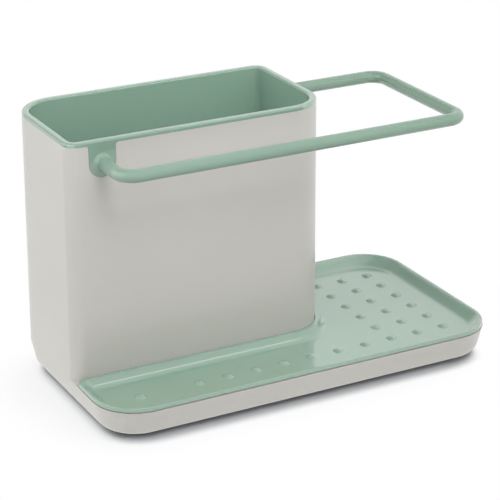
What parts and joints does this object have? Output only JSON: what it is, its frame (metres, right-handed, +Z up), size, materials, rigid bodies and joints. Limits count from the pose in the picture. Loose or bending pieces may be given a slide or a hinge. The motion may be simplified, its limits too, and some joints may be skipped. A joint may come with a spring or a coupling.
{
  "type": "kitchen sink caddy",
  "caption": "Low pan with a tall open holder, a lift-out lining, a round rail looped out at the side for a cloth, and an L-shaped drip tray with small domes.",
  "frame": {"origin": "on the surface that the feet stand on, under the middle of the pan", "axes": "+X along the pan's length to the right, +Y to the back, +Z up"},
  "size_m": [0.2054, 0.1108, 0.1289],
  "materials": {
    "shell": "soft gloss",
    "lining": "soft gloss",
    "rail": "soft gloss",
    "tray": "soft gloss",
    "foot": "matte"
  },
  "bodies": {
    "base": {"body": "shell", "foot_front_left": "foot", "foot_front_right": "foot", "foot_back_left": "foot", "foot_back_right": "foot"},
    "lining": {"liner": "lining", "cloth_rail": "rail"},
    "tray": {"drip_tray": "tray"}
  },
  "joints": [
    {"name": "lining_lift", "type": "slide", "parent": "base", "child": "lining", "axis": [0, 0, 1], "range_m": [0, 0.125]},
    {"name": "tray_lift", "type": "slide", "parent": "base", "child": "tray", "axis": [0, 0, 1], "range_m": [0, 0.05]}
  ]
}
